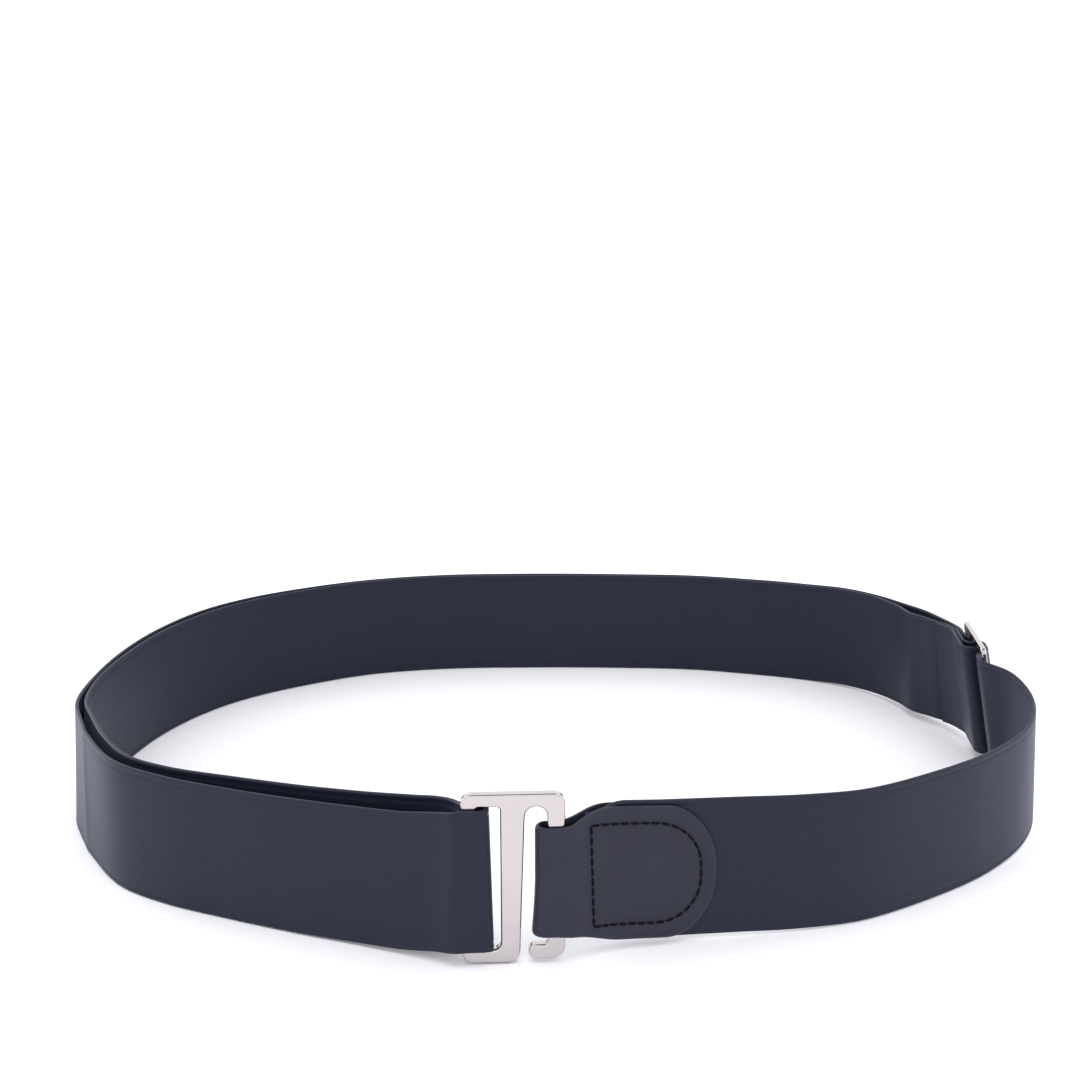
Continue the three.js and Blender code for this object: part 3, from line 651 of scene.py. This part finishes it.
def makeBand():
    profile = np.array(bandProfile())
    count, around = len(bandPoints), len(profile)
    along = lengthsAlong(bandPoints)
    ups, outs = profile[:, 0], profile[:, 1]
    waves = bandFlutter(along[:, None], ups[None, :]) + bandCreases(along[:, None], ups[None, :])
    foldAt = ovalLength - elastic["start"]
    # the waves fade in the leather and at the slide, and halve in the open layers by the hook
    slack = smoothstep(along, foldAt - 60, foldAt - 25)
    slack = slack * (1 - smoothstep(along, foldAt + 25, foldAt + 60))
    quiet = smoothstep(np.abs(along - (slideAlong - elastic["start"])), 20, 34)
    quiet = quiet * smoothstep(along[-1] - along, 56, 70)
    pastTab = smoothstep(along, 30, 60)
    waves = waves * (quiet * pastTab * (1 - slack))[:, None] + slack[:, None] * waves * 0.5
    # the fold round the hook's bar stands a little further out at its foot
    atFold = np.exp(-(((along - foldAt - math.pi * foldRadius / 2) / 9.0) ** 2))
    lean = hook["foldSlant"] * atFold[:, None] * (0.5 - ups[None, :] / elastic["width"])
    foldWay = np.array([math.cos(hook["turn"]), math.sin(hook["turn"]), 0])
    # the sewn end narrows between the two plies of leather
    narrow = 1 - elastic["endTaper"] * (1 - smoothstep(along, 1.5, 10.5))
    points = (
        bandPoints[:, None, :] + shift
        + bandUps[:, None, :] * (narrow[:, None] * ups[None, :])[:, :, None]
        + bandAcross[:, None, :] * (outs[None, :, None] + waves[:, :, None])
        + foldWay * lean[:, :, None]
    ) * mm
    faces = []
    for i in range(count - 1):
        for k in range(around):
            a, b = i * around + k, i * around + (k + 1) % around
            faces.append((a, a + around, b + around, b))
    faces.append(tuple(range(around)))
    faces.append(tuple(reversed(range((count - 1) * around, count * around))))
    upFromFoot = (ups[None, :] + elastic["width"] / 2) * mm
    uvs = np.stack(np.broadcast_arrays(along[:, None] * mm, upFromFoot), axis=2)
    band = linkMesh("elastic", points.reshape(-1, 3), faces, uvs.reshape(-1, 2))
    turnOutwards(band)
    smooth(band, 50)
    band.data.materials.append(navyElastic)
    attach(band, "root")
    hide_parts("elastic_band")
    print(f"elastic made: {along[-1]:.0f} mm long")


# Punched plates, standing in the plane of X and Z.
# A plane cut by lines, with faces taken out, points moved, corners rounded and a thickness
def plateFromPrimitive(name, size, cuts, holes, corners, moves):
    width, height = size["width"], size["height"]
    bpy.ops.object.select_all(action="DESELECT")
    bpy.ops.mesh.primitive_plane_add(
        size=1, location=(width / 2, 0, height / 2), rotation=(math.pi / 2, 0, 0),
    )
    plate = bpy.context.object
    plate.name = plate.data.name = name
    plate.scale = (width, height, 1)
    bpy.ops.object.transform_apply(location=True, rotation=True, scale=True)
    bpy.ops.object.mode_set(mode="EDIT")
    middle = height / 2
    for axis, values in cuts.items():
        for value in values + ([middle] if axis == "z" else []):
            bpy.ops.mesh.select_all(action="SELECT")
            spot = (value, 0, 0) if axis == "x" else (0, 0, value)
            normal = (1, 0, 0) if axis == "x" else (0, 0, 1)
            bpy.ops.mesh.bisect(plane_co=spot, plane_no=normal)
    bpy.ops.mesh.select_mode(type="FACE")
    bpy.ops.mesh.select_all(action="DESELECT")
    bpy.ops.object.mode_set(mode="OBJECT")
    for face in plate.data.polygons:
        x, _, z = face.center
        face.select = any(h[0] < x < h[1] and h[2] < z < h[3] for h in holes)
    bpy.ops.object.mode_set(mode="EDIT")
    bpy.ops.mesh.delete(type="FACE")
    bpy.ops.object.mode_set(mode="OBJECT")
    # the cut at half height stays, so that no face has to close round a window
    for edge in plate.data.edges:
        ends = [plate.data.vertices[v].co.z for v in edge.vertices]
        edge.use_seam = all(abs(z - middle) < 0.01 for z in ends)
    bpy.ops.object.mode_set(mode="EDIT")
    bpy.ops.mesh.select_all(action="SELECT")
    bpy.ops.mesh.dissolve_limited(
        angle_limit=math.radians(1), use_dissolve_boundaries=False, delimit={"SEAM"},
    )
    bpy.ops.mesh.select_all(action="DESELECT")
    bpy.ops.object.mode_set(mode="OBJECT")

    def isAt(vertex, spot):
        return max(abs(vertex.co.x - spot[0]), abs(vertex.co.z - spot[1])) < 0.05

    for vertex in plate.data.vertices:
        for at, to in moves:
            if isAt(vertex, at):
                vertex.co.x, vertex.co.z = to
    for radius, spots in corners:
        bpy.ops.object.mode_set(mode="EDIT")
        bpy.ops.mesh.select_mode(type="VERT")
        bpy.ops.mesh.select_all(action="DESELECT")
        bpy.ops.object.mode_set(mode="OBJECT")
        for vertex in plate.data.vertices:
            vertex.select = any(isAt(vertex, spot) for spot in spots)
        bpy.ops.object.mode_set(mode="EDIT")
        bpy.ops.mesh.bevel(
            offset_type="OFFSET", offset=radius, segments=size["filletSteps"], profile=0.5,
            affect="VERTICES", clamp_overlap=False,
        )
    bpy.ops.object.mode_set(mode="OBJECT")
    applyModifier(plate, "SOLIDIFY", thickness=size["thick"], offset=0)
    applyModifier(
        plate, "BEVEL", width=size["edge"], segments=size["edgeSteps"], limit_method="ANGLE",
        angle_limit=math.radians(50), harden_normals=False, miter_outer="MITER_ARC", profile=0.34,
    )
    pick(plate)
    bpy.ops.object.mode_set(mode="EDIT")
    bpy.ops.mesh.select_all(action="SELECT")
    bpy.ops.mesh.remove_doubles(threshold=0.0005)
    bpy.ops.mesh.normals_make_consistent(inside=False)
    bpy.ops.object.mode_set(mode="OBJECT")
    applyModifier(plate, "WEIGHTED_NORMAL", keep_sharp=False, weight=80)
    return plate


# Leans and turns a plate about its own middle and puts it at its place
def standUp(plate, size, tilt, turn, spot, depth):
    pick(plate)
    centre = Matrix.Translation((-size["width"] / 2, 0, -size["height"] / 2))
    lean = Matrix.Rotation(-tilt, 4, "X")
    aside = Matrix.Translation((0, depth, 0))
    stand = Matrix.Translation(Vector(spot) + Vector(shift)) @ Matrix.Rotation(turn, 4, "Z") @ aside
    plate.data.transform(Matrix.Scale(mm, 4) @ stand @ lean @ centre)
    plate.data.update()


def makeHook():
    size = dict(hook, height=hookHeight)
    middle = hookHeight / 2
    arm, bar = hook["arm"], hook["bar"]
    spineLeft = bar + hook["window"]
    foot = spineLeft + hook["spineFoot"]
    slotLeft = spineLeft + hook["spineTop"]
    barLeft = slotLeft + hook["slot"]
    slotTop = hookHeight - arm
    tip = foot + hook["jawGap"]
    jawTop = hook["jawRise"] + hook["jawHeight"]
    width = hook["width"]
    spare = 0.02    # two full round corners leave this much straight edge each
    cuts = {"x": [bar, spineLeft, slotLeft, tip, barLeft], "z": [arm, jawTop, slotTop]}
    holes = [
        (bar, spineLeft, arm, slotTop),
        (slotLeft, barLeft, jawTop, slotTop),
        (slotLeft, tip, 0, jawTop),
    ]
    moves = [
        ((slotLeft, 0), (foot, 0)),
        ((slotLeft, middle), (foot + (slotLeft - foot) * middle / slotTop, middle)),
        ((tip, 0), (tip, hook["jawRise"])),
        ((width, 0), (width, hook["jawRise"])),
    ]
    corners = [
        (hook["corner"], [(0, 0), (0, hookHeight), (width, hookHeight), (foot, 0)]),
        (hook["jawRound"], [(width, hook["jawRise"])]),
        (hook["jawHeight"] / 2 - spare, [(tip, jawTop), (tip, hook["jawRise"])]),
        (hook["slot"] / 2 - spare, [(slotLeft, slotTop), (barLeft, slotTop)]),
        (hook["smallCorner"], [(bar, arm), (bar, slotTop), (spineLeft, slotTop), (barLeft, jawTop)]),
        (hook["windowCorner"], [(spineLeft, arm)]),
    ]
    plate = plateFromPrimitive("hook", size, cuts, holes, corners, moves)
    standUp(plate, size, hookTilt, hook["turn"], (hookX, hookY, hookMidZ), 0)
    finishPlate(plate, "hook_buckle")


def makeSlide():
    size = dict(slide, height=slideHeight)
    windowWidth = (slide["width"] - 2 * slide["bar"] - slide["middle"]) / 2
    lefts = [slide["bar"], slide["bar"] + windowWidth + slide["middle"]]
    edges = sorted(v for left in lefts for v in (left, left + windowWidth))
    low, high = slide["rail"], slideHeight - slide["rail"]
    cuts = {"x": edges, "z": [low, high]}
    holes = [(left, left + windowWidth, low, high) for left in lefts]
    outer = [(x, z) for x in (0, slide["width"]) for z in (0, slideHeight)]
    windows = [(x, z) for x in edges for z in (low, high)]
    corners = [(slide["corner"], outer), (slide["inner"], windows)]
    plate = plateFromPrimitive("slide", size, cuts, holes, corners, [])
    turn = math.pi / 2 - slide["turn"]
    standUp(plate, size, slideTilt, turn, (slideX, slideY, slideMidZ), -strandDepth)
    finishPlate(plate, "slide_adjuster")


def finishPlate(plate, node):
    plate.data.materials.clear()
    plate.data.materials.append(polishedNickel)
    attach(plate, "root")
    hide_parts(node)


# The leather tab: a strip folded round the hook's right bar, sewn over the elastic
tabLook = {
    "stitchPitch": 2.8, "thread": 0.74, "dimple": 0.42, "lineShare": 0.55, "dimpleWidth": 1.0,
    "holeShare": 0.6, "holeWidth": 0.55, "puff": 0.28, "puffFrom": 2.6, "puffWidth": 1.6,
    "stitchSides": 8, "stitchSteps": 9, "stitchGap": 0.07, "sunk": 0.42, "rise": 0.3,
}


def tabOffset(along):
    close = smoothstep(along, rightBar + 2 * ring["clearance"], elastic["start"] - ring["clearance"])
    return tabFold + (tabSeat - tabFold) * close


# Lowest and highest edge of the leather, from the strip's middle: the neck is cut deeper at the top
def tabSides(along):
    neck, full = leather["neck"] / 2, leather["height"] / 2
    wideLow = smoothstep(along, rightBar * 0.5, elastic["start"] + rightBar * 2)
    wideHigh = smoothstep(along, rightBar * 0.7, elastic["start"] + rightBar * 1.3)
    lowNeck, highNeck = neck + leather["neckShift"], neck - leather["neckShift"]
    highFull = full - leather["topDrop"]
    return -(lowNeck + (full - lowNeck) * wideLow), highNeck + (highFull - highNeck) * wideHigh


seam = {"left": 12.2, "right": 43.3, "low": -14.9, "high": 14.2, "round": 12.6}


# The D of the seam, from its lower left corner up, then round and back, as (along, up)
def seamLine():
    r, left, low, high = seam["round"], seam["left"], seam["low"], seam["high"]
    cx = seam["right"] - r
    quarter = np.linspace(0, math.pi / 2, 14)
    points = [(left, low), (left, high), (cx, high)]
    points += [(cx + r * math.sin(a), high - r + r * math.cos(a)) for a in quarter[1:]]
    points += [(cx + r * math.cos(a), low + r - r * math.sin(a)) for a in quarter]
    points.append((left, low))
    return np.array(points)


def resample(points, pitch):
    lengths = lengthsAlong(points)
    count = max(2, round(lengths[-1] / pitch))
    at = np.linspace(0, lengths[-1], count + 1)
    return np.stack([np.interp(at, lengths, points[:, k]) for k in range(points.shape[1])], axis=1)


def seamPlaces(pitch):
    # the sharp corners stay, since every straight side starts and ends with a place
    line = seamLine()
    sides = [resample(line[:2], pitch), resample(line[1:-1], pitch), resample(line[-2:], pitch)]
    return np.vstack([sides[0], sides[1][1:], sides[2][1:]])


seamHoles = seamPlaces(tabLook["stitchPitch"])
seamFine = seamPlaces(0.4)


# How far the leather sinks at the seam and swells between the seam and its edge
def seamRelief(along, up):
    spots = np.column_stack([along, up])
    near = np.sqrt(((spots[:, None, :] - seamFine[None]) ** 2).sum(2)).min(1)
    holes = np.sqrt(((spots[:, None, :] - seamHoles[None]) ** 2).sum(2)).min(1)
    line = np.exp(-((near / tabLook["dimpleWidth"]) ** 2))
    hole = np.exp(-((holes / tabLook["holeWidth"]) ** 2))
    puff = np.exp(-(((near - tabLook["puffFrom"]) / tabLook["puffWidth"]) ** 2))
    sunk = tabLook["dimple"] * (tabLook["lineShare"] * line + tabLook["holeShare"] * hole)
    return tabLook["puff"] * puff - sunk


# Points of the leather: along is negative on the inner ply and positive on the outer one
def tabPoint(along, up, out):
    along, up, out = (np.asarray(v, float) for v in (along, up, out))
    points = np.zeros((len(along), 3))
    foldHalf = math.pi * tabFold / 2
    for side in (1, -1):
        mask = (side * along) >= foldHalf
        if mask.any():
            s = side * along[mask] - foldHalf
            middle, ups, _ = place(s, side * (tabOffset(s) + out[mask]))
            points[mask] = middle + ups * up[mask][:, None]
    mask = np.abs(along) < foldHalf
    if mask.any():
        angle = along[mask] / tabFold
        middle, ups, outward = place([0.0], [0.0])
        mark = ovalAt([0.0])[0]
        tangent = np.array([mark[2], mark[3], 0]) / math.hypot(mark[2], mark[3])
        outward = np.array([outward[0][0], outward[0][1], 0])
        radius = (tabFold + out[mask])[:, None]
        sweep = outward * np.sin(angle)[:, None] - tangent * np.cos(angle)[:, None]
        lowness = np.clip(-up[mask] / (leather["neck"] / 2), 0, 2)
        flare = leather["flare"] * lowness ** 1.5 * np.cos(angle)
        points[mask] = middle[0] + radius * sweep + ups[0] * up[mask][:, None]
        points[mask] -= tangent * flare[:, None]
    return (points + shift) * mm


# The flat leather as a grid of (along, up), with both ends rounded
def tabGrid():
    foldHalf = math.pi * tabFold / 2
    reach = foldHalf + leather["length"] - leather["roundEnd"]
    clusterEdge = np.array([0, 0.08, 0.22, 0.45, 0.8, 1.3, 1.9])
    half = leather["height"] / 2
    inner = np.linspace(-(half - 2.5), half - 2.5, leather["columns"])
    ts = np.concatenate([-(half - clusterEdge), inner, (half - clusterEdge)[::-1]]) / half
    capEdge = leather["roundEnd"] - clusterEdge
    capInner = np.linspace(0, leather["roundEnd"] - 2.5, leather["capRows"])[1:]
    caps = np.concatenate([capInner, capEdge[::-1]]) / leather["roundEnd"]
    body = np.linspace(-reach, reach, leather["rows"])
    rows = [(-1, s) for s in -caps[::-1]] + [(0, s) for s in body] + [(1, s) for s in caps]
    grid = np.zeros((len(rows), len(ts), 2))
    for i, (end, s) in enumerate(rows):
        for j, t in enumerate(ts):
            if end == 0:
                low, high = tabSides(max(abs(s) - foldHalf, 0))
                grid[i, j] = (s, low + (high - low) * (t + 1) / 2)
            else:
                x = abs(s) * math.sqrt(1 - t * t / 2)
                y = t * math.sqrt(1 - s * s / 2)
                low, high = tabSides(reach)
                up = (low + high) / 2 + y * (high - low) / 2
                grid[i, j] = (end * (reach + x * leather["roundEnd"]), up)
    return grid


def makeTab():
    grid = tabGrid()
    rows, columns = grid.shape[:2]
    flat = grid.reshape(-1, 2)
    foldHalf = math.pi * tabFold / 2
    along = np.abs(flat[:, 0]) - foldHalf
    relief = np.where(along > 6, seamRelief(along, flat[:, 1]), 0)
    # distance from the cut edge, which is the grid's first and last rows and columns
    border = np.concatenate([grid[0], grid[-1], grid[:, 0], grid[:, -1]])
    near = np.array([np.sqrt(((border - p) ** 2).sum(1)).min() for p in flat])
    roundOff = np.clip(1 - near / leather["edgeRound"], 0, 1)
    roll = leather["thick"] * leather["edgeRoll"] * (1 - np.sqrt(1 - roundOff**2 * 0.98))
    outer = tabPoint(flat[:, 0], flat[:, 1], leather["thick"] / 2 - roll + relief)
    inner = tabPoint(flat[:, 0], flat[:, 1], -leather["thick"] / 2 + roll * 0.15)
    total = rows * columns
    faces = []
    for i in range(rows - 1):
        for j in range(columns - 1):
            a = i * columns + j
            quad = (a, a + columns, a + columns + 1, a + 1)
            faces.append(quad)
            faces.append(tuple(total + v for v in reversed(quad)))
    rim = list(range(columns))
    rim += [i * columns + columns - 1 for i in range(1, rows)]
    rim += [(rows - 1) * columns + j for j in range(columns - 2, -1, -1)]
    rim += [i * columns for i in range(rows - 2, 0, -1)]
    for k, a in enumerate(rim):
        b = rim[(k + 1) % len(rim)]
        faces.append((a, b, total + b, total + a))
    uvs = np.vstack([flat, flat]) * mm
    tab = linkMesh("tab", np.vstack([outer, inner]), faces, uvs)
    turnOutwards(tab)
    smooth(tab, 60)
    tab.data.materials.append(navyLeather)
    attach(tab, "root")
    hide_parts("leather_tab")


# Short threads from hole to hole, sunk at both ends, on both faces of the tab
def makeStitches():
    foldHalf = math.pi * tabFold / 2
    sides, steps, gap = tabLook["stitchSides"], tabLook["stitchSteps"], tabLook["stitchGap"]
    radius = tabLook["thread"] / 2
    points, faces, uvs = [], [], []
    for side in (1, -1):
        for start, end in zip(seamHoles[:-1], seamHoles[1:]):
            direction = (end - start) / np.linalg.norm(end - start)
            normal = np.array([-direction[1], direction[0]])
            base = len(points)
            for i in range(steps):
                share = i / (steps - 1)
                spot = start + (end - start) * (gap + (1 - 2 * gap) * share)
                rise = math.sin(math.pi * share) ** 0.55
                thick = radius * (0.55 + 0.45 * rise)
                level = leather["thick"] / 2 - tabLook["sunk"] + tabLook["rise"] * rise
                for k in range(sides):
                    angle = 2 * math.pi * k / sides
                    flat = spot + normal * thick * math.cos(angle)
                    out = level + thick * math.sin(angle)
                    point = tabPoint([side * (foldHalf + flat[0])], [flat[1]], [out])[0]
                    points.append(point)
                    uvs.append((share, k / sides))
            for i in range(steps - 1):
                for k in range(sides):
                    a = base + i * sides + k
                    b = base + i * sides + (k + 1) % sides
                    faces.append((a, b, b + sides, a + sides))
            faces.append(tuple(base + k for k in reversed(range(sides))))
            faces.append(tuple(base + (steps - 1) * sides + k for k in range(sides)))
    stitches = linkMesh("tabStitches", points, faces, uvs)
    turnOutwards(stitches)
    smooth(stitches, 70)
    stitches.data.materials.append(darkThread)
    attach(stitches, "root")


# The studio: a pale floor and soft light
studio = {
    "floor": (0.88, 0.88, 0.93, 1), "world": (1.0, 0.998, 1.0, 1), "strength": 1.32,
    "aim": (0, 0, 0.02), "flagSize": 0.5, "flagAt": (0, -0.2, 0.8),
}
lights = [
    {"name": "left", "at": (-0.95, 0.45, 0.3), "size": 0.6, "power": 4.0, "color": (0.97, 0.985, 1.0)},
    {"name": "right", "at": (0.95, 0.35, 0.35), "size": 0.6, "power": 1.8, "color": (0.97, 0.985, 1.0)},
    {"name": "top", "at": (0.0, -0.25, 1.25), "size": 0.8, "power": 4.5, "color": (1.0, 0.995, 1.0)},
]


def makeStudio():
    bpy.ops.object.select_all(action="DESELECT")
    bpy.ops.mesh.primitive_plane_add(size=60, location=(0, 0, -0.0002))
    floor = bpy.context.object
    floor.name = "floor"
    material, _, shader = newMaterial("paleFloor")
    shader.inputs["Base Color"].default_value = studio["floor"]
    shader.inputs["Roughness"].default_value = 0.7
    shader.inputs["Specular IOR Level"].default_value = 0.2
    floor.data.materials.append(material)
    world = bpy.context.scene.world or bpy.data.worlds.new("world")
    bpy.context.scene.world = world
    world.use_nodes = True
    background = world.node_tree.nodes["Background"]
    background.inputs["Color"].default_value = studio["world"]
    background.inputs["Strength"].default_value = studio["strength"]
    for light in lights:
        data = bpy.data.lights.new(light["name"], "AREA")
        data.shape = "SQUARE"
        data.size = light["size"]
        data.energy = light["power"]
        data.color = light["color"]
        lamp = bpy.data.objects.new(light["name"], data)
        lamp.location = light["at"]
        aim = Vector(studio["aim"]) - Vector(light["at"])
        lamp.rotation_euler = aim.to_track_quat("-Z", "Y").to_euler()
        bpy.context.collection.objects.link(lamp)
    # a dark flag overhead draws the thin lines along the metal's upper edges
    bpy.ops.object.select_all(action="DESELECT")
    bpy.ops.mesh.primitive_plane_add(size=studio["flagSize"], location=studio["flagAt"])
    flag = bpy.context.object
    flag.name = "flag"
    flag.visible_camera = False
    flag.visible_diffuse = False
    flag.visible_shadow = False
    material, _, shader = newMaterial("blackFlag")
    shader.inputs["Base Color"].default_value = (0.01, 0.01, 0.012, 1)
    shader.inputs["Roughness"].default_value = 0.9
    flag.data.materials.append(material)
    bpy.context.scene.view_settings.view_transform = "Standard"


makeStudio()
makeHook()
makeSlide()
print("plates made")
makeBand()
makeTab()
makeStitches()
print("tab and stitches made")
